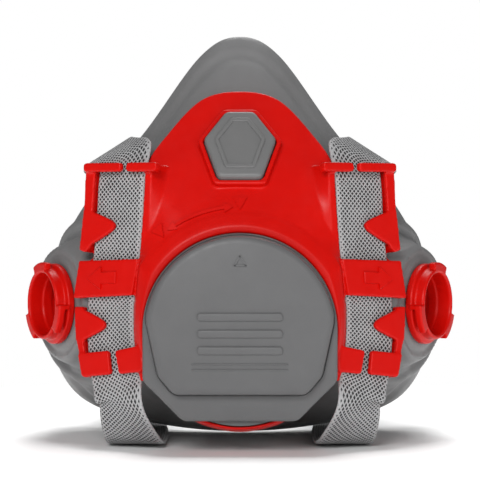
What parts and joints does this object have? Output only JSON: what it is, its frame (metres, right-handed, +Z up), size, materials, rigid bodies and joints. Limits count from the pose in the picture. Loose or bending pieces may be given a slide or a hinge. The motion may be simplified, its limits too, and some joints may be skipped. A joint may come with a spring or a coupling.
{
  "type": "half-mask respirator",
  "caption": "Elastomer half-mask respirator with a rigid harness frame, twist-off exhalation cover, two bayonet filter ports and a strap harness.",
  "frame": {"origin": "on the ground under the middle of the whole object's box", "axes": "+Z up, +Y towards the wearer, so the mask faces -Y; +X to the right as seen from the front"},
  "size_m": [0.1496, 0.1707, 0.1396],
  "materials": {
    "silicone": "matte",
    "red_plastic": "semi-gloss",
    "grey_plastic": "fine texture",
    "badge_plastic": "fine texture",
    "valve_rubber": "matte",
    "webbing": "woven"
  },
  "bodies": {
    "mask": {"facepiece": "silicone", "harness_frame": "red_plastic", "badge_plate": "badge_plastic", "exhalation_seat": "grey_plastic", "port_connector_left": "red_plastic", "port_connector_right": "red_plastic", "port_ring_left": "red_plastic", "port_ring_right": "red_plastic", "front_strap_left": "webbing", "front_strap_right": "webbing"},
    "cover": {"valve_cover": "grey_plastic"},
    "exhalation_valve": {"exhalation_flap": "valve_rubber"},
    "inhalation_valve_left": {"inhalation_flap_left": "valve_rubber"},
    "inhalation_valve_right": {"inhalation_flap_right": "valve_rubber"},
    "head_harness": {"head_strap_left": "webbing", "head_strap_right": "webbing", "head_cradle": "grey_plastic"},
    "neck_left": {"neck_strap_left": "webbing", "buckle_socket": "grey_plastic"},
    "neck_right": {"neck_strap_right": "webbing"},
    "clip_plug": {"buckle_plug": "grey_plastic"}
  },
  "joints": [
    {"name": "cover_twist", "type": "hinge", "parent": "mask", "child": "cover", "pos_m": [0, -0.0693, 0.0404], "axis": [0, -1, 0], "range_deg": [0, 40]},
    {"name": "exhalation_flap_lift", "type": "slide", "parent": "mask", "child": "exhalation_valve", "axis": [0, -1, 0], "range_m": [0, 0.0013]},
    {"name": "inhalation_flap_left_lift", "type": "slide", "parent": "mask", "child": "inhalation_valve_left", "axis": [0.866, 0.5, 0], "range_m": [0, 0.0013]},
    {"name": "inhalation_flap_right_lift", "type": "slide", "parent": "mask", "child": "inhalation_valve_right", "axis": [-0.866, 0.5, 0], "range_m": [0, 0.0013]},
    {"name": "head_harness_swing", "type": "hinge", "parent": "mask", "child": "head_harness", "pos_m": [0, -0.0371, 0.1068], "axis": [1, 0, 0], "range_deg": [0, 60]},
    {"name": "neck_left_swing", "type": "hinge", "parent": "mask", "child": "neck_left", "pos_m": [0, -0.0431, 0.0002], "axis": [1, 0, 0], "range_deg": [-45, 0]},
    {"name": "neck_right_swing", "type": "hinge", "parent": "mask", "child": "neck_right", "pos_m": [0, -0.0431, 0.0002], "axis": [1, 0, 0], "range_deg": [-45, 0]},
    {"name": "clip_release", "type": "slide", "parent": "neck_right", "child": "clip_plug", "axis": [1, 0, 0], "range_m": [0, 0.012]}
  ],
  "couplings": [
    {"joint": "neck_right_swing", "follows": "neck_left_swing", "ratio": 1}
  ]
}
